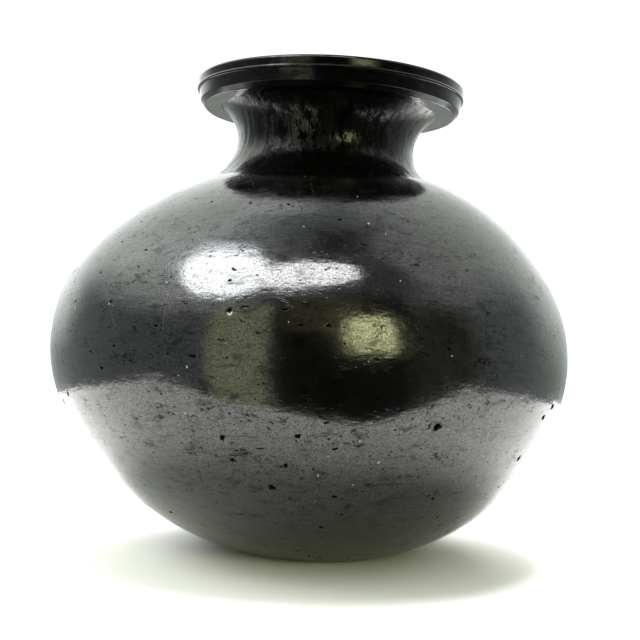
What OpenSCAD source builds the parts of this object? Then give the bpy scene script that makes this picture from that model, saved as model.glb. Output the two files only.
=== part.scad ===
// Burnished black clay pot: a round, footless coil-built jar with a wide flat rim.
// Every piece is a ring of clay about one upright axis, joined face to face.
// Millimetres, +Z up, origin at the centre of the flat resting face.

/* [Body] */
// Widest outside diameter of the belly
body_diameter = 170; // [160:1:190]
// Height of the widest line above the resting face
widest_height = 64.5; // [60:0.5:75]
// Diameter of the flat resting face
base_diameter = 53; // [40:1:70]
// Outside radius of curvature of the belly
belly_radius = 48; // [40:1:55]
// Outside radius of curvature of the shoulder
shoulder_radius = 80; // [65:1:95]
// Thickness of the clay wall
wall = 6; // [4.5:0.5:7]
// Thickness of the floor
floor_thickness = 8; // [7:0.5:10]

/* [Seams] */
// Angle below level, from the bowl's centre, where the pad ends and the bowl begins
pad_seam_angle = 60; // [56:1:62]
// Angle below level, from the belly's centre, where the bowl ends
bowl_seam_angle = 27; // [22:1:32]
// Angle above level, from the belly's centre, where the shoulder begins
shoulder_seam_angle = 35; // [28:1:42]

/* [Neck] */
// Outside diameter of the neck at its narrowest
neck_diameter = 60; // [50:1:70]
// Radius of the hollow curve of the neck's outside
neck_curve = 14; // [10:0.5:16]
// Angle above the throat at which the neck turns into the flat rim
rim_seam_angle = 56; // [50:1:62]

/* [Rim] */
// Outside diameter of the rim
rim_diameter = 90; // [88:1:100]
// Height of the lip above the flat rim
lip_height = 4; // [3.5:0.25:5]
// Radius of the lip's rounded outer edge
lip_bead = 1; // [0.75:0.25:1.5]
// Height of the fine ridge that rings the lip's foot
ridge_height = 0.9; // [0.6:0.1:1.2]
// How far that ridge stands out past the rounded edge above it
ridge_depth = 0.25; // [0.1:0.05:0.5]
// How far the lip stands out past the rim under it
lip_overhang = 0.8; // [0.4:0.1:1.2]
// How far the rim's outer face leans in towards its lower edge
rim_taper = 0.7; // [0.2:0.1:1.2]
// Size of the bevel on the rim's lower edge
rim_bevel = 1.5; // [0.8:0.1:2]

/* [Hidden] */
$fn = 96;
clay = [0.06, 0.06, 0.065];
reach = 400;

// Centre of the belly's curve
belly_x = body_diameter / 2 - belly_radius;
belly_z = widest_height;

// The bowl's curve leaves the belly's without a corner and ends at the resting face
join_x = belly_x + belly_radius * cos(bowl_seam_angle);
join_z = belly_z - belly_radius * sin(bowl_seam_angle);
span_x = base_diameter / 2 - join_x;
bowl_radius = (span_x * span_x + join_z * join_z)
    / (-2 * (span_x * cos(bowl_seam_angle) + join_z * sin(bowl_seam_angle)));
bowl_x = join_x - bowl_radius * cos(bowl_seam_angle);
bowl_z = join_z + bowl_radius * sin(bowl_seam_angle);
pad_foot = bowl_x + bowl_z / tan(pad_seam_angle);

// The shoulder's curve leaves the belly's without a corner
shoulder_x = belly_x + (belly_radius - shoulder_radius) * cos(shoulder_seam_angle);
shoulder_z = belly_z + (belly_radius - shoulder_radius) * sin(shoulder_seam_angle);

// Centre of the neck's hollow curve, outside the clay, touching the shoulder's curve
neck_x = neck_diameter / 2 + neck_curve;
neck_seam_angle = acos((neck_x - shoulder_x) / (shoulder_radius + neck_curve));
neck_z = shoulder_z + (shoulder_radius + neck_curve) * sin(neck_seam_angle);

// Outer and inner corners of the seam between neck and rim
rim_x = neck_x - neck_curve * cos(rim_seam_angle);
rim_z = neck_z + neck_curve * sin(rim_seam_angle);
mouth_x = neck_x - (neck_curve + wall) * cos(rim_seam_angle);
mouth_z = neck_z + (neck_curve + wall) * sin(rim_seam_angle);

rim_r = rim_diameter / 2;
tier_r = rim_r - lip_overhang;
edge_r = tier_r - rim_taper;
top_z = mouth_z + lip_height;

// Centre of the lip's rounded edge
bead_x = rim_r - ridge_depth - lip_bead;
bead_z = top_z - lip_bead;
// The slope down to the mouth starts just inside the rounded edge's skin
crest = lip_bead * 0.97;
crest_angle = 114;

// Section of a wall of even thickness, its curve centred at (x, z), between two seams
module wall_section(x, z, r_in, r_out, from, to) {
    intersection() {
        translate([x, z]) difference() {
            circle(r = r_out);
            circle(r = r_in);
        }
        polygon([[x, z],
                 [x + reach * cos(from), z + reach * sin(from)],
                 [x + reach * cos(to), z + reach * sin(to)]]);
    }
}

// Flat-bottomed pad that the walls are built up from
module base_pad() {
    color(clay) rotate_extrude() intersection() {
        difference() {
            translate([bowl_x, bowl_z]) circle(r = bowl_radius);
            intersection() {
                translate([bowl_x, bowl_z]) circle(r = bowl_radius - wall);
                translate([-reach, floor_thickness]) square([2 * reach, reach]);
            }
        }
        polygon([[0, 0], [pad_foot, 0], [bowl_x, bowl_z], [0, bowl_z]]);
    }
}

// Lower wall, from the pad up to the belly
module bowl() {
    color(clay) rotate_extrude()
        wall_section(bowl_x, bowl_z, bowl_radius - wall, bowl_radius,
                     -pad_seam_angle, -bowl_seam_angle);
}

// Widest band of the body
module belly() {
    color(clay) rotate_extrude()
        wall_section(belly_x, belly_z, belly_radius - wall, belly_radius,
                     -bowl_seam_angle, shoulder_seam_angle);
}

// Upper wall, closing in to the neck
module shoulder() {
    color(clay) rotate_extrude()
        wall_section(shoulder_x, shoulder_z, shoulder_radius - wall, shoulder_radius,
                     shoulder_seam_angle, neck_seam_angle);
}

// Hollow-curved collar, narrowest at the throat and flaring out to the rim
module neck() {
    color(clay) rotate_extrude()
        wall_section(neck_x, neck_z, neck_curve, neck_curve + wall,
                     180 - rim_seam_angle, 180 + neck_seam_angle);
}

// Flat rim around the mouth, with a bevelled lower edge
module rim() {
    color(clay) rotate_extrude()
        polygon([[rim_x, rim_z],
                 [edge_r - rim_bevel, rim_z],
                 [edge_r, rim_z + rim_bevel],
                 [tier_r, mouth_z],
                 [mouth_x, mouth_z]]);
}

// Lip on top of the rim: an upright face, a rounded edge and a slope down into the mouth
module lip() {
    color(clay) rotate_extrude() union() {
        intersection() {
            translate([bead_x, bead_z]) circle(r = lip_bead);
            translate([0, mouth_z]) square([reach, reach]);
        }
        polygon([[mouth_x, mouth_z],
                 [rim_r, mouth_z],
                 [rim_r - ridge_depth / 2, mouth_z + ridge_height],
                 [bead_x + crest, bead_z],
                 [bead_x + crest * cos(crest_angle), bead_z + crest * sin(crest_angle)]]);
    }
}

base_pad();
bowl();
belly();
shoulder();
neck();
rim();
lip();
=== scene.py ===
"""Looks of a burnished black clay pot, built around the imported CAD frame.

The frame is in metres with +Z up. Shapes below are worked out in millimetres and scaled once.
"""

import math
from types import SimpleNamespace

import bpy
import numpy as np
from mathutils import Matrix, Vector


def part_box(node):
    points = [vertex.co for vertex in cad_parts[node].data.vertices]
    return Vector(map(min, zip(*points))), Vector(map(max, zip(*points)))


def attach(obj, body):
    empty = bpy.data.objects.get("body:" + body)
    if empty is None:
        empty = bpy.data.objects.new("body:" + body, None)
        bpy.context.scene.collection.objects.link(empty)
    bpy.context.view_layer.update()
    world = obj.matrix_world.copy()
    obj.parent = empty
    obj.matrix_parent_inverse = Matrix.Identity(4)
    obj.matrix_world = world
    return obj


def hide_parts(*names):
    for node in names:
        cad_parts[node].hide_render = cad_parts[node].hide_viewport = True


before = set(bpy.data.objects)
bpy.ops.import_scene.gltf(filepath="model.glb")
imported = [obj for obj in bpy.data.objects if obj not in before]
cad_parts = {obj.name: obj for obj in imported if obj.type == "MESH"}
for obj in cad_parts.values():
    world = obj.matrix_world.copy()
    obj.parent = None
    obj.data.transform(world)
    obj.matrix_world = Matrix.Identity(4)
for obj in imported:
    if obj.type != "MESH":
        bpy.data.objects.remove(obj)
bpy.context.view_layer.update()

MM = 0.001
TAU = 2 * math.pi

# ---------------------------------------------------------------- sizes, in millimetres

BELLY_CURVE = 48.0
SHOULDER_CURVE = 80.0
NECK_CURVE = 14.0
WALL = 6.0
BASE_RADIUS = 26.5
WIDEST_HEIGHT = 64.5
PAD_SEAM = 60.0  # degrees below level
BOWL_SEAM = 27.0
SHOULDER_SEAM = 35.0  # degrees above level
RIM_SEAM = 56.0
FLOOR_TOP = 8.0
LIP_BEAD = 1.0
RIDGE_HEIGHT = 0.9
RIDGE_DEPTH = 0.25
LIP_OVERHANG = 0.8
RIM_TAPER = 0.7
RIM_BEVEL = 1.5
CREST_ANGLE = 114.0  # degrees that the lip's edge turns before its slope starts
RIM_SPAN = 20.0  # distance along the section left for the rim before the lip

# How finely the meshes are cut
SEGMENTS = 960
BODY_ROW = 0.65
NECK_ROW = 0.46
RIM_ROW = 0.22
INNER_ROW = 3.0
NORMAL_STEP = 0.05

# How the handmade pot strays from a true turned form: height, drift towards +X
DRIFT = [(0, 1.9), (35, -0.6), (65, -2.1), (95, -2.9), (122, -0.5), (135, 2.3), (155, 3.5)]
# Height, and degrees by which the ring leans down towards +X
LEAN = [(0, 0), (95, 0), (122, -0.5), (135, 0), (145.7, 2.4), (154.7, 1.25)]
EASE = 5.0  # how far the knots above are rounded over
SETTLE = 5.0  # height over which the unevenness fades in above the resting face

# Layers of unevenness: stretch round the pot, seed, number of waves, shortest and longest wave
WAVES = {
    "broad": (60, 3, 14, 45, 100),
    "inside": (14, 8, 16, 7, 14),
    "turning": (10, 6, 20, 2, 6),
    "strokes": (22, 4, 28, 8, 20),
    "facets": (45, 5, 24, 5, 10),
    "uprights": (60, 7, 26, 3, 8),
    "ragged": (70, 9, 16, 0.8, 2.5),
}
UPRIGHT_STRETCH = 0.22  # how much the neck's upright marks are drawn out along the section

# Pits that are worth real geometry: degrees round from the front, height, radius, depth
PITS = [
    (-14, 77.0, 0.9, 0.5), (-42, 79.0, 0.8, 0.4), (-17, 43.0, 0.9, 0.6), (-16, 36.5, 0.9, 0.6),
    (-5, 36.0, 0.8, 0.6), (-9, 29.0, 1.0, 0.6), (25, 47.0, 1.2, 0.8), (62, 51.0, 1.2, 0.8),
    (55, 35.5, 1.0, 0.7), (58, 48.0, 0.9, 0.6), (-60, 52.0, 0.9, 0.6), (-66, 49.0, 0.9, 0.6),
]
LOOSE_PITS = 30
PIT_SEED = 11
PIT_SQUASH = 1.6
PIT_RAGGEDNESS = 0.45
PIT_SLOPE = 1.5
# Pits are painted dark, with no reflection, as painted shade inside them
FULL_PIT = 0.15  # depth from which a pit is marked as fully dark


def corners(node):
    """A node's lowest and highest corners, in millimetres."""
    low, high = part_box(node)
    return np.array(low) / MM, np.array(high) / MM


# ---------------------------------------------------------------- the pot's section


class Arc:
    """Part of a circle in the section plane, from one angle to another, in degrees."""

    def __init__(self, x, z, radius, start, end):
        self.x, self.z, self.radius = x, z, radius
        self.start, self.turn = math.radians(start), math.radians(end - start)
        self.length = abs(self.turn) * radius

    def at(self, t):
        sign = math.copysign(1, self.turn)
        a = self.start + sign * t / self.radius
        c, s = np.cos(a), np.sin(a)
        return self.x + self.radius * c, self.z + self.radius * s, sign * c, sign * s


class Line:
    """A straight stretch of the section."""

    def __init__(self, start, end):
        self.start = np.array(start, float)
        along = np.array(end, float) - self.start
        self.length = float(np.hypot(*along))
        self.along = along / self.length

    def at(self, t):
        x = self.start[0] + self.along[0] * t
        z = self.start[1] + self.along[1] * t
        return x, z, np.full_like(x, self.along[1]), np.full_like(x, -self.along[0])


def rounded(points, radii):
    """Straight stretches through the points, with each inner corner rounded off."""
    made, last = [], np.array(points[0], float)
    for before, corner, after, radius in zip(points, points[1:], points[2:], radii):
        corner = np.array(corner, float)
        a = np.array(before, float) - corner
        b = np.array(after, float) - corner
        a, b = a / np.hypot(*a), b / np.hypot(*b)
        half = math.acos(float(np.clip(a @ b, -1, 1))) / 2
        reach = radius / math.tan(half)
        start, end = corner + a * reach, corner + b * reach
        middle = corner + (a + b) / np.hypot(*(a + b)) * radius / math.sin(half)
        made.append(Line(last, start))
        p, q = start - middle, end - middle
        first = math.atan2(p[1], p[0])
        turn = math.atan2(p[0] * q[1] - p[1] * q[0], float(p @ q))
        made.append(Arc(*middle, radius, math.degrees(first), math.degrees(first + turn)))
        last = end
    made.append(Line(last, points[-1]))
    return made


def section():
    """Centres and corners of the section, found the way the CAD model finds them."""
    body_r = corners("belly")[1][0]
    rim_r = corners("lip")[1][0]
    mouth_z, top_z = corners("lip")[0][2], corners("lip")[1][2]
    rim_z = corners("rim")[0][2]
    cos, sin = (lambda a: math.cos(math.radians(a))), (lambda a: math.sin(math.radians(a)))
    belly = (body_r - BELLY_CURVE, WIDEST_HEIGHT)
    join = (belly[0] + BELLY_CURVE * cos(BOWL_SEAM), belly[1] - BELLY_CURVE * sin(BOWL_SEAM))
    span = BASE_RADIUS - join[0]
    bowl_r = (span**2 + join[1] ** 2) / (-2 * (span * cos(BOWL_SEAM) + join[1] * sin(BOWL_SEAM)))
    bowl = (join[0] - bowl_r * cos(BOWL_SEAM), join[1] + bowl_r * sin(BOWL_SEAM))
    gap = BELLY_CURVE - SHOULDER_CURVE
    shoulder = (belly[0] + gap * cos(SHOULDER_SEAM), belly[1] + gap * sin(SHOULDER_SEAM))
    neck_z = rim_z - NECK_CURVE * sin(RIM_SEAM)
    reach = SHOULDER_CURVE + NECK_CURVE
    neck_seam = math.degrees(math.asin((neck_z - shoulder[1]) / reach))
    neck = (shoulder[0] + reach * cos(neck_seam), neck_z)
    return dict(
        belly=belly, bowl=bowl, bowl_r=bowl_r, shoulder=shoulder, neck=neck, neck_seam=neck_seam,
        base_angle=math.degrees(math.asin(bowl[1] / bowl_r)),
        rim=(neck[0] - NECK_CURVE * cos(RIM_SEAM), rim_z),
        mouth=(neck[0] - (NECK_CURVE + WALL) * cos(RIM_SEAM), mouth_z),
        top_z=top_z, rim_r=rim_r,
    )


S = section()


def wall_runs(centre, radius, start, end, row, inner_row=INNER_ROW):
    """Outer wall upwards and inner wall downwards of a ring between two seam angles."""
    outward = 1 if end > start else -1
    return [
        ("outer", [Arc(*centre, radius, start, end)], row),
        ("seam", None, row),
        ("inner", [Arc(*centre, radius - outward * WALL, end, start)], inner_row),
        ("seam", None, row),
    ]


def base_pad_runs():
    """Resting face, outside, seam, then the inside down to the middle of the floor."""
    x, z = S["bowl"]
    inner_r = S["bowl_r"] - WALL
    floor_edge = x + math.sqrt(inner_r**2 - (z - FLOOR_TOP) ** 2)
    floor_angle = -math.degrees(math.asin((z - FLOOR_TOP) / inner_r))
    return [
        ("rest", [Line((0, 0), (BASE_RADIUS, 0))], 1.5),
        ("outer", [Arc(x, z, S["bowl_r"], -S["base_angle"], -PAD_SEAM)], BODY_ROW),
        ("seam", None, BODY_ROW),
        ("inner", [Arc(x, z, inner_r, -PAD_SEAM, floor_angle)], INNER_ROW / 2),
        ("inner", [Line((floor_edge, FLOOR_TOP), (0, FLOOR_TOP))], INNER_ROW / 2),
    ]


def rim_runs():
    """Outside, then the joint face under the lip and the one on top of the neck."""
    tier = S["rim_r"] - LIP_OVERHANG
    edge = tier - RIM_TAPER
    x, z = S["rim"]
    points = [(x, z), (edge - RIM_BEVEL, z), (edge, z + RIM_BEVEL), (tier, S["mouth"][1])]
    return [
        ("turned", rounded(points, [0.5, 0.5]), RIM_ROW),
        ("seam", [Line(points[-1], S["mouth"])], INNER_ROW),
        ("seam", None, RIM_ROW),
    ]


def lip_runs():
    """Ridge, upright face and rounded edge, then the slope into the mouth, then the joint."""
    r, z = S["rim_r"], S["mouth"][1]
    bead_x, bead_z = r - RIDGE_DEPTH - LIP_BEAD, S["top_z"] - LIP_BEAD
    foot = (bead_x + LIP_BEAD - 0.12, z + RIDGE_HEIGHT + 0.15)
    ridge = rounded(
        [(r - 0.45, z), (r - 0.22, z + 0.2), (r - 0.14, z + RIDGE_HEIGHT * 0.7), foot,
         (bead_x + LIP_BEAD, bead_z)],
        [0.12, 0.12, 0.1],
    )
    crest = math.radians(CREST_ANGLE)
    top = (bead_x + LIP_BEAD * math.cos(crest), bead_z + LIP_BEAD * math.sin(crest))
    slope = rounded([top, (S["mouth"][0] + 1.2, z + 0.9), S["mouth"]], [2.5])
    return [
        ("turned", ridge + [Arc(bead_x, bead_z, LIP_BEAD, 0, CREST_ANGLE)], RIM_ROW),
        ("turned_top", slope, RIM_ROW * 2),
        ("seam", None, RIM_ROW),
    ]


# ---------------------------------------------------------------- the handmade surface


def eased(knots, z):
    """A smooth curve through the rough knots."""
    fine = np.arange(-30, 200, 0.25)
    values = np.interp(fine, *zip(*knots))
    reach = np.arange(-3 * EASE, 3 * EASE + 0.25, 0.25)
    kernel = np.exp(-0.5 * (reach / EASE) ** 2)
    padded = np.pad(values, len(reach) // 2, mode="edge")
    return np.interp(z, fine, np.convolve(padded, kernel / kernel.sum(), mode="valid"))


def waves(points, seed, count, shortest, longest):
    """Smooth seeded noise of about unit strength: a sum of plane waves."""
    rng = np.random.default_rng(seed)
    total = np.zeros(points.shape[:-1])
    for _ in range(count):
        way = rng.normal(size=3)
        way *= TAU / rng.uniform(shortest, longest) / np.linalg.norm(way)
        total += np.sin(points @ way + rng.uniform(0, TAU))
    return total / math.sqrt(count / 2)


def unrolled(theta, run):
    """Places round the pot and along its section, to build the unevenness from."""
    around = np.stack([np.cos(theta), np.sin(theta), np.zeros_like(theta)], -1)
    along = np.zeros(theta.shape + (3,))
    along[..., 2] = run
    return around, along


def layer(name, around, along):
    """One layer of unevenness."""
    stretch, seed, count, shortest, longest = WAVES[name]
    return waves(around * stretch + along, seed, count, shortest, longest)


def all_pits():
    """The placed pits, and loose ones scattered over the rest of the body."""
    rng = np.random.default_rng(PIT_SEED)
    pits = list(PITS)
    for _ in range(LOOSE_PITS):
        turn = rng.uniform(70, 290)
        radius = rng.uniform(0.75, 1.2)
        pits.append((turn, rng.triangular(12, 45, 100), radius, radius * rng.uniform(0.4, 0.7)))
    return pits


def pitted(theta, radius, z, ragged, depth=0.0):
    """How deep the pits cut at each point of the wall. They are ragged, and longer than high."""
    for turn, height, size, deep in all_pits():
        middle = math.radians(turn - 90)
        round_by = (theta - middle + math.pi) % TAU - math.pi
        near = ((round_by * radius) ** 2 + PIT_SQUASH * (z - height) ** 2) / size**2
        edge = 1 + PIT_RAGGEDNESS * ragged
        depth = depth + deep * np.clip(1 - near * edge, 0, None) ** PIT_SLOPE
    return depth


def swell(kind, theta, run, x, z):
    """How far the surface stands out from the true form, in millimetres."""
    if kind in ("seam", "rest"):
        return np.zeros_like(x)
    around, along = unrolled(theta, run)
    broad = layer("broad", around, along)
    if kind == "inner":
        return 0.25 * broad + 0.18 * layer("inside", around, along)
    if kind.startswith("turned"):
        return 0.05 * broad + 0.012 * layer("turning", around, along)
    strokes = layer("strokes", around, along)
    if kind == "scraped":
        uprights = layer("uprights", around, along * UPRIGHT_STRETCH)
        return 0.12 * broad + 0.008 * strokes + 0.010 * uprights
    out = 0.16 * broad + 0.02 * strokes + 0.006 * layer("facets", around, along)
    settle = np.clip(z / SETTLE, 0, 1) ** 2
    return settle * out - pit_depth(kind, theta, run, x, z)


def pit_depth(kind, theta, run, x, z):
    """Depth of the real pits, in millimetres. Only the outside of the body has them."""
    if kind != "outer":
        return np.zeros_like(x)
    ragged = layer("ragged", *unrolled(theta, run))
    return pitted(theta, x, z, np.clip(ragged, -1, 1))


def surface(kind, piece, offset, t, theta):
    """Points of the handmade surface, t millimetres along one stretch of the section."""
    x, z, nx, nz = piece.at(t)
    out = swell(kind, theta, offset + t, x, z)
    r, h = x + nx * out, z + nz * out
    px, py = r * np.cos(theta), r * np.sin(theta)
    return np.stack([px + eased(DRIFT, z), py, h - px * np.tan(np.radians(eased(LEAN, z)))], -1)


def rows(kind, pieces, row, offset):
    """Rings of points and their normals along one run of the section."""
    theta = np.arange(SEGMENTS) * TAU / SEGMENTS
    points, normals, runs = [], [], []
    for i, piece in enumerate(pieces):
        count = max(1, round(piece.length / row))
        t = np.linspace(0, piece.length, count + 1)[0 if i == 0 else 1 :]
        tt, th = np.meshgrid(t, theta, indexing="ij")
        points.append(surface(kind, piece, offset, tt, th))
        radius = np.maximum(np.abs(piece.at(tt)[0]), 1.0)
        turn = NORMAL_STEP / radius
        up = [surface(kind, piece, offset, tt + s, th) for s in (NORMAL_STEP, -NORMAL_STEP)]
        side = [surface(kind, piece, offset, tt, th + s) for s in (turn, -turn)]
        n = np.cross(side[0] - side[1], up[0] - up[1])
        normals.append(n / np.linalg.norm(n, axis=-1, keepdims=True))
        x, z = piece.at(tt)[:2]
        # How far into a pit: the clay uses it as the mask for painted shade in the pits
        pit = np.clip(pit_depth(kind, th, offset + tt, x, z) / FULL_PIT, 0, 1)
        runs.append(np.stack([(offset + tt) * MM, pit], -1))
        offset += piece.length
    return np.concatenate(points), np.concatenate(normals), np.concatenate(runs), offset


# ---------------------------------------------------------------- meshes


def ring_mesh(name, runs, offset, capped=False):
    """A closed mesh from the runs of its section.

    A run without pieces is one straight joint face to the next run, or back to the first point.
    Two of them never follow each other: the corner between them would have no points.
    """
    grids, spans, run_values = [], [], []
    for kind, pieces, row in runs:
        if pieces is None:
            spans.append(None)
            continue
        points, normals, run, offset_end = rows(kind, pieces, row, offset)
        if kind in ("outer", "scraped", "turned"):
            offset = offset_end
        joined = bool(grids) and spans[-1] is not None
        start = sum(len(g) for g in grids) - (1 if joined else 0)
        grids.append(points[1:] if joined else points)
        run_values.append(run[1:] if joined else run)
        spans.append((start, normals))
    points = np.concatenate(grids)
    run_values = np.concatenate(run_values)
    total = len(points)
    flat = points.reshape(-1, 3)
    quads, corner_normals = [], []
    column = np.arange(SEGMENTS)
    after = (column + 1) % SEGMENTS

    def strip(a, b, na, nb):
        """One ring of faces between section points a and b."""
        quads.append(np.stack([a * SEGMENTS + column, a * SEGMENTS + after,
                               b * SEGMENTS + after, b * SEGMENTS + column], -1))
        corner_normals.append(np.stack([na[column], na[after], nb[after], nb[column]], 1))

    end = None
    for i, span in enumerate(spans):
        if span is None:
            start = spans[i + 1][0] if i + 1 < len(spans) else 0
            round_way = points[end][after] - points[end][column]
            face = np.cross(round_way, points[start][column] - points[end][column])
            size = np.linalg.norm(face, axis=-1, keepdims=True)
            face = face / np.maximum(size, 1e-9)
            strip(end, start, face, face)
            continue
        start, normals = span
        for j in range(len(normals) - 1):
            strip(start + j, start + j + 1, normals[j], normals[j + 1])
        end = start + len(normals) - 1
    faces = np.concatenate(quads)
    loop_normals = np.concatenate(corner_normals).reshape(-1, 3)
    if capped:
        return capped_mesh(name, flat, faces, loop_normals, run_values, total)
    return build(name, flat, [faces], loop_normals, run_values)


def capped_mesh(name, flat, faces, loop_normals, run_values, total):
    """Closes the two ends that meet the axis: the rings of zero radius become one point each."""
    keep = np.ones(len(flat), bool)
    index = np.arange(len(flat))
    for ring in (0, total - 1):
        first = ring * SEGMENTS
        index[first : first + SEGMENTS] = first
        keep[first + 1 : first + SEGMENTS] = False
    renumber = np.cumsum(keep) - 1
    faces = renumber[index[faces]]
    normals = loop_normals.reshape(-1, 4, 3)
    start = (faces[:, 0] == faces[:, 1])
    end = (faces[:, 2] == faces[:, 3])
    whole = ~(start | end)
    fans = [faces[start][:, [1, 2, 3]], faces[end][:, [0, 1, 2]]]
    fan_normals = [normals[start][:, [1, 2, 3]], normals[end][:, [0, 1, 2]]]
    normal_sets = [normals[whole]] + fan_normals
    ordered = np.concatenate([each.reshape(-1, 3) for each in normal_sets])
    runs = run_values.reshape(-1, 2)[keep]
    return build(name, flat[keep], [faces[whole]] + fans, ordered, runs)


def build(name, points, face_sets, loop_normals, run_values):
    """Makes the object with its own normals. Each point holds its distance along the section
    and how far it is into a pit."""
    mesh = bpy.data.meshes.new(name)
    sizes = np.concatenate([np.full(len(f), f.shape[1]) for f in face_sets])
    loops = np.concatenate([f.reshape(-1) for f in face_sets])
    mesh.vertices.add(len(points))
    mesh.vertices.foreach_set("co", (points * MM).astype(np.float32).reshape(-1))
    mesh.loops.add(len(loops))
    mesh.loops.foreach_set("vertex_index", loops.astype(np.int32))
    mesh.polygons.add(len(sizes))
    starts = np.concatenate([[0], np.cumsum(sizes)[:-1]])
    mesh.polygons.foreach_set("loop_start", starts.astype(np.int32))
    mesh.polygons.foreach_set("use_smooth", np.ones(len(sizes), bool))
    mesh.update(calc_edges=True)
    mesh.validate()
    for column, label in enumerate(("run", "pit")):
        marks = mesh.attributes.new(label, "FLOAT", "POINT")
        values = run_values.reshape(-1, 2)[:, column]
        marks.data.foreach_set("value", np.ascontiguousarray(values, np.float32))
    mesh.normals_split_custom_set(loop_normals.astype(np.float32))
    made = bpy.data.objects.new(name, mesh)
    bpy.context.scene.collection.objects.link(made)
    return made


# ---------------------------------------------------------------- shader helpers


class Nodes:
    """A short way to write a node tree."""

    def __init__(self, tree):
        self.tree = tree

    def add(self, kind, inputs=None, **settings):
        node = self.tree.nodes.new(kind)
        for key, value in settings.items():
            setattr(node, key, value)
        for key, value in (inputs or {}).items():
            self.put(node.inputs[key], value)
        return node

    def put(self, socket, value):
        if isinstance(value, bpy.types.NodeSocket):
            self.tree.links.new(value, socket)
        else:
            socket.default_value = value

    def math(self, operation, a, b=0.0, c=0.0, clamp=False):
        node = self.add("ShaderNodeMath", operation=operation, use_clamp=clamp)
        for socket, value in zip(node.inputs, (a, b, c)):
            self.put(socket, value)
        return node.outputs[0]

    def ramp(self, value, low, high, to_low=0.0, to_high=1.0, smooth=True):
        kind = "SMOOTHSTEP" if smooth else "LINEAR"
        node = self.add("ShaderNodeMapRange", interpolation_type=kind)
        for socket, v in zip(node.inputs, (value, low, high, to_low, to_high)):
            self.put(socket, v)
        return node.outputs[0]

    def mix(self, factor, a, b):
        node = self.add("ShaderNodeMix", data_type="RGBA")
        self.put(node.inputs[0], factor)
        self.put(node.inputs[6], a)
        self.put(node.inputs[7], b)
        return node.outputs[2]

    def noise(self, vector, scale, detail=2.0, rough=0.5):
        return self.add("ShaderNodeTexNoise", {"Vector": vector, "Scale": scale,
                                               "Detail": detail, "Roughness": rough}).outputs[0]

    def cells(self, vector, scale):
        return self.add("ShaderNodeTexVoronoi", {"Vector": vector, "Scale": scale})


def wrapped(n, round_scale, run_scale):
    """Coordinates that run round the pot and along its section, for streaks that follow it."""
    spot = n.add("ShaderNodeTexCoord").outputs["Object"]
    x, y, _ = n.add("ShaderNodeSeparateXYZ", {0: spot}).outputs
    radius = n.math("MAXIMUM", n.math("SQRT", n.math("ADD", n.math("MULTIPLY", x, x),
                                                     n.math("MULTIPLY", y, y))), 0.001)
    run = n.add("ShaderNodeAttribute", attribute_name="run").outputs["Fac"]
    parts = {0: n.math("MULTIPLY", n.math("DIVIDE", x, radius), round_scale),
             1: n.math("MULTIPLY", n.math("DIVIDE", y, radius), round_scale),
             2: n.math("MULTIPLY", run, run_scale)}
    return n.add("ShaderNodeCombineXYZ", parts).outputs[0]


def material(name):
    """An empty material with a Principled shader, and the writer for its nodes."""
    made = bpy.data.materials.new(name)
    made.use_nodes = True
    made.node_tree.nodes.clear()
    n = Nodes(made.node_tree)
    shader = n.add("ShaderNodeBsdfPrincipled")
    out = n.add("ShaderNodeOutputMaterial")
    n.tree.links.new(shader.outputs[0], out.inputs[0])
    return made, n, shader


def bumps(n, layers):
    """A chain of bump layers: height, strength and depth in metres."""
    normal = None
    for height, strength, distance in layers:
        node = n.add("ShaderNodeBump",
                     {"Height": height, "Strength": strength, "Distance": distance})
        if normal is not None:
            n.put(node.inputs["Normal"], normal)
        normal = node.outputs[0]
    return normal


# ---------------------------------------------------------------- the clay

BURNISHED_IOR = 1.75
SCRAPED_IOR = 1.5
RIM_IOR = 1.38

# Base colours: each clay's darkest and lightest
BURNISHED = ((0.0005, 0.0005, 0.0005, 1), (0.0022, 0.0021, 0.0019, 1))
SCRAPED = ((0.0005, 0.0005, 0.0005, 1), (0.0022, 0.0022, 0.0020, 1))
RIM = ((0.0004, 0.0004, 0.0004, 1), (0.0015, 0.0015, 0.0014, 1))
DUST = (0.15, 0.15, 0.145, 1)
# Painted shade: the colour given to pits and cracks, for the shade inside them
HOLLOW_PAINTED_SHADE = (0.0008, 0.0008, 0.0007, 1)

# Tints of the reflection, from a clean surface to a dull mark
FULL_GLOSS = (1, 1, 1, 1)
SCRAPED_GLOSS = (0.8, 0.8, 0.8, 1)
RIM_GLOSS = (0.7, 0.7, 0.7, 1)
NO_GLOSS = (0.0, 0.0, 0.0, 1)


def scaled(n, vector, amount):
    """A vector times a number."""
    node = n.add("ShaderNodeVectorMath", {0: vector, "Scale": amount}, operation="SCALE")
    return node.outputs[0]


def part(n, cells, channel):
    """One of the three random numbers that each cell of a cell pattern has."""
    return n.add("ShaderNodeSeparateColor", {0: cells.outputs["Color"]}).outputs[channel]


def spots(n, vector, chance, smallest, largest, edge):
    """Round marks in a few of a pattern's cells: 1 inside a mark and 0 outside."""
    cells = n.cells(vector, 1.0)
    size = n.ramp(part(n, cells, 0), 0.0, 1.0, smallest, largest)
    inside = n.ramp(n.math("SUBTRACT", cells.outputs["Distance"], size), -edge, edge, 1.0, 0.0)
    return n.math("MULTIPLY", inside, n.math("LESS_THAN", part(n, cells, 1), chance))


def warped(n, vector, scale, amount):
    """A pattern's coordinates, pushed about so that its marks lose their round outlines."""
    push = n.add("ShaderNodeTexNoise", {"Vector": vector, "Scale": scale, "Detail": 2.0}).outputs[1]
    centred = n.add("ShaderNodeVectorMath", {0: push, 1: (0.5, 0.5, 0.5)}, operation="SUBTRACT")
    push = scaled(n, centred.outputs[0], amount)
    moved = n.add("ShaderNodeVectorMath", {0: vector, 1: push}, operation="ADD")
    return moved.outputs[0]


def thread(n, value, width):
    """A thin wandering line where a noise crosses its middle."""
    off = n.math("ABSOLUTE", n.math("SUBTRACT", value, 0.5))
    return n.ramp(off, 0.0, width, 1.0, 0.0)


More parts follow.
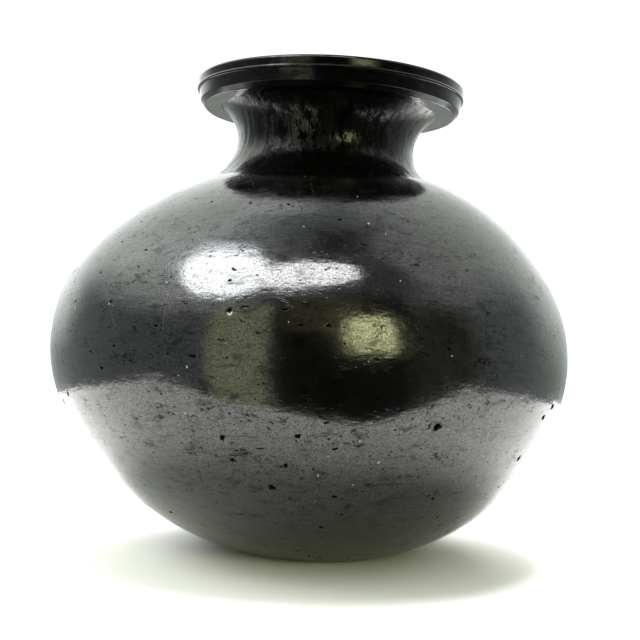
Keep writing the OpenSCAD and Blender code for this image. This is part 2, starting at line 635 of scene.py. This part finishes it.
def most(n, *masks):
    """The strongest of several masks."""
    total = masks[0]
    for mask in masks[1:]:
        total = n.math("MAXIMUM", total, mask)
    return total


def burnished_marks(n, spot, patches, clouds):
    """The marks on the burnished clay. Each mask is 1 in a mark and 0 outside. The hole and crack
    masks carry painted shade as well: the clay darkens them and takes their reflection away.
    """
    pit_space = warped(n, wrapped(n, 22, 400), 1.7, 0.55)
    hole_and_painted_shade = n.math("MULTIPLY", spots(n, pit_space, 0.10, 0.04, 0.22, 0.04),
                  n.ramp(patches, 0.36, 0.46))
    gouge_space = warped(n, wrapped(n, 10, 190), 2.4, 0.7)
    hole_and_painted_shade = most(n, hole_and_painted_shade, spots(n, gouge_space, 0.07, 0.03, 0.13, 0.03))
    # The real pits, read from the mesh's depth mark, join the holes and get the same painted shade
    hole_and_painted_shade = most(n, hole_and_painted_shade, n.add("ShaderNodeAttribute", attribute_name="pit").outputs["Fac"])
    pore_space = warped(n, wrapped(n, 56, 1150), 1.5, 0.5)
    pore = spots(n, pore_space, 0.12, 0.04, 0.30, 0.10)
    crack_and_painted_shade = n.math("MULTIPLY", thread(n, n.noise(wrapped(n, 11, 260), 1.0, 3.0, 0.55), 0.012),
                   n.ramp(clouds, 0.54, 0.58))
    smudge = n.math("MULTIPLY", n.ramp(clouds, 0.55, 0.68),
                    n.ramp(n.noise(wrapped(n, 40, 1500), 1.0, 3.0, 0.7), 0.42, 0.60))
    dust = spots(n, warped(n, scaled(n, spot, 620), 2.0, 0.5), 0.016, 0.02, 0.24, 0.06)
    streak = n.noise(wrapped(n, 11, 900), 1.0, 4.0, 0.65)
    stroke = n.ramp(n.noise(wrapped(n, 17, 640), 1.0, 4.0, 0.7), 0.62, 0.69)
    blotch = n.noise(warped(n, wrapped(n, 13, 230), 1.2, 0.8), 1.0, 4.0, 0.7)
    scratch = n.math("MULTIPLY", thread(n, n.noise(wrapped(n, 3, 17), 1.0, 0.0), 0.0016),
                     n.ramp(n.noise(wrapped(n, 6, 50), 1.0, 1.0), 0.58, 0.68))
    return SimpleNamespace(hole_and_painted_shade=hole_and_painted_shade, pore=pore, crack_and_painted_shade=crack_and_painted_shade, smudge=smudge, dust=dust,
                           streak=streak, stroke=stroke, blotch=blotch, scratch=scratch)


def burnished_clay():
    """Stone-burnished black clay: level strokes, fine scratches, pores, pits, cracks and dust. Pits
    and cracks get painted shade: a darker colour and no reflection.
    """
    made, n, shader = material("burnished_clay")
    spot = n.add("ShaderNodeTexCoord").outputs["Object"]
    strokes = n.noise(wrapped(n, 16, 420), 1.0, 3.0, 0.55)
    hairs = n.noise(wrapped(n, 34, 2600), 1.0, 3.0, 0.6)
    grain = n.noise(spot, 2300, 3.0, 0.7)
    patches = n.noise(wrapped(n, 5, 60), 1.0, 3.0, 0.6)
    clouds = n.noise(wrapped(n, 9, 190), 1.0, 4.0, 0.68)
    mark = burnished_marks(n, spot, patches, clouds)

    shade = n.mix(n.math("MULTIPLY", n.ramp(patches, 0.35, 0.75), 0.6), *BURNISHED)
    shade = n.mix(most(n, mark.dust, n.math("MULTIPLY", mark.scratch, 0.4)), shade, DUST)
    # Painted shade: pits and cracks darkened for the shade inside them
    shade = n.mix(most(n, mark.hole_and_painted_shade, mark.crack_and_painted_shade), shade, HOLLOW_PAINTED_SHADE)
    n.put(shader.inputs["Base Color"], shade)

    rough = n.ramp(patches, 0.3, 0.75, 0.10, 0.16)
    rough = n.math("ADD", rough, n.ramp(hairs, 0.52, 0.74, 0.0, 0.06))
    rough = n.math("ADD", rough, n.ramp(grain, 0.5, 0.75, 0.0, 0.08))
    rough = n.math("ADD", rough, n.math("MULTIPLY", most(n, mark.pore, mark.smudge), 0.2))
    rough = n.math("ADD", rough, n.math("MULTIPLY", most(n, mark.hole_and_painted_shade, mark.dust), 0.45),
                   clamp=True)
    n.put(shader.inputs["Roughness"], rough)
    shader.inputs["IOR"].default_value = BURNISHED_IOR

    dull = most(n, n.math("MULTIPLY", n.ramp(grain, 0.36, 0.70), 0.62),
                n.math("MULTIPLY", n.ramp(hairs, 0.50, 0.74), 0.5),
                n.math("MULTIPLY", n.ramp(mark.streak, 0.50, 0.68), 0.6),
                n.math("MULTIPLY", n.ramp(mark.blotch, 0.48, 0.70), 0.55),
                n.math("MULTIPLY", mark.pore, 0.8), n.math("MULTIPLY", mark.smudge, 0.85),
                n.math("MULTIPLY", mark.stroke, 0.85), mark.hole_and_painted_shade, mark.crack_and_painted_shade)
    # Pits and cracks lose all their reflection here, as painted shade
    n.put(shader.inputs["Specular Tint"], n.mix(dull, FULL_GLOSS, NO_GLOSS))
    # A mark loses its gloss at every angle, not only face on. In pits and cracks the loss is
    # painted shade.
    lost = most(n, mark.hole_and_painted_shade, mark.crack_and_painted_shade, n.math("MULTIPLY", mark.stroke, 0.8),
                n.math("MULTIPLY", mark.pore, 0.7), n.math("MULTIPLY", mark.smudge, 0.7),
                n.math("MULTIPLY", n.ramp(mark.blotch, 0.50, 0.72), 0.4),
                n.math("MULTIPLY", n.ramp(grain, 0.42, 0.72), 0.30))
    n.put(shader.inputs["Specular IOR Level"], n.ramp(lost, 0.0, 1.0, 0.5, 0.0, smooth=False))

    n.put(shader.inputs["Normal"], bumps(n, [
        (strokes, 0.35, 0.00022), (hairs, 0.30, 0.00003), (grain, 0.25, 0.00003),
        (n.math("MULTIPLY", mark.pore, -1.0), 0.25, 0.00006),
        (n.math("MULTIPLY", most(n, mark.hole_and_painted_shade, mark.crack_and_painted_shade), -1.0), 0.15, 0.0002)]))
    return made


def scraped_clay():
    """The neck: less burnished, with the upright marks of the tool."""
    made, n, shader = material("scraped_clay")
    spot = n.add("ShaderNodeTexCoord").outputs["Object"]
    mottle = n.noise(warped(n, wrapped(n, 13, 210), 1.3, 1.0), 1.0, 4.0, 0.68)
    upright = n.noise(wrapped(n, 30, 170), 1.0, 4.0, 0.62)
    fine = n.noise(wrapped(n, 120, 900), 1.0, 3.0, 0.6)
    grain = n.noise(spot, 1300, 3.0, 0.6)
    patches = n.noise(wrapped(n, 5, 80), 1.0, 3.0, 0.6)
    n.put(shader.inputs["Base Color"], n.mix(n.ramp(patches, 0.35, 0.7), *SCRAPED))
    rough = n.math("ADD", n.ramp(mottle, 0.4, 0.62, 0.14, 0.30), n.ramp(fine, 0.5, 0.75, 0.0, 0.1))
    n.put(shader.inputs["Roughness"], rough)
    shader.inputs["IOR"].default_value = SCRAPED_IOR
    dull = most(n, n.math("MULTIPLY", n.ramp(fine, 0.40, 0.64), 0.8),
                n.math("MULTIPLY", n.ramp(grain, 0.40, 0.66), 0.8),
                n.math("MULTIPLY", n.ramp(upright, 0.46, 0.62), 0.9), n.ramp(mottle, 0.44, 0.54))
    n.put(shader.inputs["Specular Tint"], n.mix(dull, SCRAPED_GLOSS, NO_GLOSS))
    n.put(shader.inputs["Normal"], bumps(n, [
        (mottle, 0.4, 0.0003), (upright, 0.3, 0.0001), (grain, 0.3, 0.00004)]))
    return made


def rim_clay():
    """The rim: smooth and glossy, with faint turning lines."""
    made, n, shader = material("rim_clay")
    spot = n.add("ShaderNodeTexCoord").outputs["Object"]
    lines = n.noise(wrapped(n, 7, 2400), 1.0, 3.0, 0.6)
    patches = n.noise(wrapped(n, 6, 260), 1.0, 3.0, 0.6)
    grain = n.noise(spot, 1000, 2.0, 0.6)
    n.put(shader.inputs["Base Color"], n.mix(n.ramp(patches, 0.4, 0.75), *RIM))
    n.put(shader.inputs["Roughness"], n.ramp(patches, 0.3, 0.75, 0.12, 0.2))
    shader.inputs["IOR"].default_value = RIM_IOR
    dull = most(n, n.math("MULTIPLY", n.ramp(grain, 0.4, 0.7), 0.6),
                n.math("MULTIPLY", n.ramp(patches, 0.42, 0.6), 0.7))
    n.put(shader.inputs["Specular Tint"], n.mix(dull, RIM_GLOSS, NO_GLOSS))
    n.put(shader.inputs["Normal"], bumps(n, [(lines, 0.25, 0.00004), (grain, 0.2, 0.00002)]))
    return made


# ---------------------------------------------------------------- the set


def window(n, az, el, az_span, el_span, az_soft, el_soft):
    """A soft-edged rectangle of the surroundings, 1 inside and 0 outside, in degrees."""
    (a0, a1), (e0, e1) = az_span, el_span
    sides = [n.ramp(az, a0 - az_soft, a0 + az_soft),
             n.ramp(az, a1 - az_soft, a1 + az_soft, 1.0, 0.0),
             n.ramp(el, e0 - el_soft, e0 + el_soft),
             n.ramp(el, e1 - el_soft, e1 + el_soft, 1.0, 0.0)]
    total = sides[0]
    for side in sides[1:]:
        total = n.math("MULTIPLY", total, side)
    return total


# What the pot mirrors: span round from the front and span above level in degrees, softness of
# the two, colour, strength. Each lies over the ones before it, and over the tent's own colour.
GLOWS = [
    ((-185, -45), (28, 72), (25, 12), (1.0, 1.04, 1.0), 2.9),
    ((-185, -128), (4, 66), (12, 8), (1.0, 1.04, 1.0), 2.0),
    ((64, 185), (32, 72), (14, 12), (1.0, 1.04, 1.0), 1.4),
    ((120, 185), (4, 60), (15, 10), (1.0, 1.05, 1.0), 1.5),
    ((8, 64), (44, 74), (9, 8), (1.0, 1.04, 1.0), 0.36),
    ((0, 100), (74, 95), (30, 6), (1.0, 1.04, 1.0), 0.14),
    ((38, 75), (-40, 32), (10, 10), (0.95, 1.0, 0.85), 0.2),
    ((-16, 47), (-95, 43), (2.5, 4), (0.9, 1.0, 0.7), 0.02),
    ((-10, 27), (17, 43), (6, 5), (1.0, 0.85, 0.55), 0.4),
    ((-43, -17), (-95, 34), (1.5, 4), (1.0, 1.06, 0.68), 1.75),
    ((17, 37), (5, 27), (2.5, 3.0), (1.0, 1.03, 0.55), 7.5),
]
TENT = (0.58, 0.64, 0.60)
BACKDROP = 1.2  # brightness of the white that the camera sees behind the pot


def surroundings():
    """White to the camera; to the pot, a soft white tent with a dark opening in front."""
    world = bpy.data.worlds.new("tent")
    bpy.context.scene.world = world
    world.use_nodes = True
    world.node_tree.nodes.clear()
    n = Nodes(world.node_tree)
    way = n.add("ShaderNodeTexCoord").outputs["Generated"]
    x, y, z = n.add("ShaderNodeSeparateXYZ", {0: way}).outputs
    az = n.math("MULTIPLY", n.math("ARCTAN2", x, n.math("MULTIPLY", y, -1.0)), 180 / math.pi)
    el = n.math("MULTIPLY", n.math("ARCSINE", z), 180 / math.pi)
    colour = (*TENT, 1)
    for az_span, el_span, soft, tint, strength in GLOWS:
        shape = window(n, az, el, az_span, el_span, *soft)
        colour = n.mix(shape, colour, (*(c * strength for c in tint), 1))
    seen = n.add("ShaderNodeBackground", {"Color": (1, 1, 1, 1), "Strength": BACKDROP})
    felt = n.add("ShaderNodeBackground", {"Color": colour, "Strength": 1.0})
    either = n.add("ShaderNodeMixShader", {0: n.add("ShaderNodeLightPath").outputs["Is Camera Ray"],
                                           1: felt.outputs[0], 2: seen.outputs[0]})
    out = n.add("ShaderNodeOutputWorld")
    n.tree.links.new(either.outputs[0], out.inputs[0])


# The white sheet's outline, in metres, and how far the plain floor goes on past it
SHEET = [(-0.25, -0.162), (-0.02, -0.148), (0.03, -0.129), (0.10, -0.133), (0.26, -0.155),
         (0.26, 0.36), (-0.25, 0.36)]
FLOOR_REACH = 1.6


def floor_mesh(name, points, faces):
    """A flat piece of the floor, at the height of the resting face."""
    mesh = bpy.data.meshes.new(name)
    mesh.from_pydata([(x, y, 0) for x, y in points], [], faces)
    made = bpy.data.objects.new(name, mesh)
    bpy.context.scene.collection.objects.link(made)
    made.data.materials.append(floor_paper())
    return made


def floor_paper():
    """Plain white paper."""
    found = bpy.data.materials.get("floor_paper")
    if found:
        return found
    made, n, shader = material("floor_paper")
    fibre = n.noise(n.add("ShaderNodeTexCoord").outputs["Object"], 700, 3.0, 0.6)
    n.put(shader.inputs["Base Color"],
          n.mix(fibre, (0.90, 0.90, 0.885, 1), (0.94, 0.94, 0.925, 1)))
    shader.inputs["Roughness"].default_value = 0.9
    shader.inputs["Specular IOR Level"].default_value = 0.0
    return made


def stage():
    """A white sheet under the pot. The floor past its edges is not there for reflections."""
    count = len(SHEET)
    outer = []
    for x, y in SHEET:
        grow = FLOOR_REACH / max(abs(x), abs(y))
        outer.append((x * grow, y * grow))
    ring = [(k, (k + 1) % count, count + (k + 1) % count, count + k) for k in range(count)]
    sheet = floor_mesh("floor", SHEET, [tuple(range(count))])
    apron = floor_mesh("floor_apron", outer + SHEET, ring)
    apron.visible_glossy = False


# Lamps: centre, size, turn in degrees, colour, brightness, and whether the pot mirrors them.
# The mirrored ones show in reflections only, and the others light matt surfaces only.
SOFT_BOXES = [
    ("soft_box_left", (-0.265, -0.255, 0.45), (0.30, 0.36), -33.6, (0.97, 0.99, 1.0), 17.0, True),
    ("soft_box_edge", (-0.235, -0.145, 0.45), (0.24, 0.22), -20.0, (0.86, 0.94, 1.0), 7.0, True),
    ("soft_box_front", (-0.035, -0.30, 0.45), (0.34, 0.17), 12.0, (1.0, 1.0, 1.0), 15.0, True),
    ("back_fill", (0.12, 0.50, 0.42), (0.50, 0.40), 0.0, (1.0, 1.0, 1.0), 14.0, False),
    ("overhead_fill", (-0.01, -0.04, 0.90), (0.40, 0.40), 0.0, (1.0, 1.0, 1.0), 20.0, False),
    ("left_fill", (-0.45, -0.05, 0.40), (0.30, 0.30), 0.0, (1.0, 1.0, 1.0), 5.5, False),
    ("top_fill", (0.04, 0.20, 0.90), (0.60, 0.60), 0.0, (1.0, 1.0, 1.0), 14.0, False),
]


def soft_boxes(shaded):
    """The lamps. The shaded pieces are left out of their light, to look darker than they would."""
    kept_out = bpy.data.collections.new("kept_out_of_the_lamps")
    for piece in shaded:
        kept_out.objects.link(piece)
    for member in kept_out.collection_objects:
        member.light_linking.link_state = "EXCLUDE"
    for name, place, (width, depth), turn, colour, brightness, mirrored in SOFT_BOXES:
        data = bpy.data.lights.new(name, "AREA")
        data.shape, data.size, data.size_y = "ELLIPSE", width, depth
        lamp_area = math.pi * width * depth / 4
        data.color, data.energy = colour, brightness * math.pi * lamp_area
        made = bpy.data.objects.new(name, data)
        made.location, made.rotation_euler = place, (0, 0, math.radians(turn))
        made.visible_camera = False
        made.visible_glossy, made.visible_diffuse = mirrored, not mirrored
        made.light_linking.receiver_collection = kept_out
        bpy.context.scene.collection.objects.link(made)


CAMERA_AT = (0.0, -0.365, 0.0714)  # metres
CAMERA_PITCH = 0.72  # degrees
CAMERA_YAW = 0.21
CAMERA_ROLL = 1.2
LENS = 60.75  # millimetres
SENSOR = 36.0
NEAREST, FARTHEST = 0.01, 20  # metres


def camera():
    """The photographer's view: close, level and very slightly rolled."""
    pitch, yaw, roll = (math.radians(a) for a in (CAMERA_PITCH, CAMERA_YAW, CAMERA_ROLL))
    level_part = math.cos(pitch)
    ahead = Vector((math.sin(yaw) * level_part, math.cos(yaw) * level_part, math.sin(pitch)))
    level = Vector((math.cos(yaw), -math.sin(yaw), 0))
    right = level * math.cos(roll) + level.cross(ahead) * math.sin(roll)
    up = right.cross(ahead)
    data = bpy.data.cameras.new("camera")
    data.lens, data.sensor_width = LENS, SENSOR
    data.clip_start, data.clip_end = NEAREST, FARTHEST
    made = bpy.data.objects.new("camera", data)
    bpy.context.scene.collection.objects.link(made)
    turn = Matrix((right, up, -ahead)).transposed()
    made.matrix_world = Matrix.Translation(CAMERA_AT) @ turn.to_4x4()
    bpy.context.scene.camera = made


# ---------------------------------------------------------------- putting it together


def outer_lengths():
    """Distance along the outside from the resting edge to where each ring starts."""
    turn = math.radians
    pad = S["bowl_r"] * turn(S["base_angle"] - PAD_SEAM)
    bowl = S["bowl_r"] * turn(PAD_SEAM - BOWL_SEAM)
    belly = BELLY_CURVE * turn(BOWL_SEAM + SHOULDER_SEAM)
    shoulder = SHOULDER_CURVE * turn(S["neck_seam"] - SHOULDER_SEAM)
    neck = NECK_CURVE * turn(S["neck_seam"] + RIM_SEAM)
    starts = np.cumsum([0, pad, bowl, belly, shoulder, neck])
    return dict(zip(("base_pad", "bowl", "belly", "shoulder", "neck", "rim"), starts))


def neck_runs():
    """The neck's wall. Its outside is scraped, not burnished."""
    runs = wall_runs(S["neck"], NECK_CURVE, 180 + S["neck_seam"], 180 - RIM_SEAM, NECK_ROW, 2.0)
    return [("scraped", *runs[0][1:])] + runs[1:]


def dress(name, runs, offset, paint, capped=False):
    """Builds one piece, paints it and puts it in place of its CAD node."""
    piece = ring_mesh("pot_" + name, runs, offset, capped)
    piece.data.materials.append(paint)
    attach(piece, "root")
    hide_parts(name)
    return piece


def pot():
    """The seven pieces. Returns the ones that are kept out of the lamps."""
    start = outer_lengths()
    burnished, scraped, smooth = burnished_clay(), scraped_clay(), rim_clay()
    dress("base_pad", base_pad_runs(), start["base_pad"], burnished, capped=True)
    dress("bowl", wall_runs(S["bowl"], S["bowl_r"], -PAD_SEAM, -BOWL_SEAM, BODY_ROW),
          start["bowl"], burnished)
    dress("belly", wall_runs(S["belly"], BELLY_CURVE, -BOWL_SEAM, SHOULDER_SEAM, BODY_ROW),
          start["belly"], burnished)
    dress("shoulder", wall_runs(S["shoulder"], SHOULDER_CURVE, SHOULDER_SEAM, S["neck_seam"],
                                BODY_ROW), start["shoulder"], burnished)
    neck = dress("neck", neck_runs(), start["neck"], scraped)
    dress("rim", rim_runs(), start["rim"], smooth)
    dress("lip", lip_runs(), start["rim"] + RIM_SPAN, smooth)
    return [neck]


shaded = pot()
stage()
surroundings()
soft_boxes(shaded)
camera()
view = bpy.context.scene.view_settings
view.view_transform = "Standard"
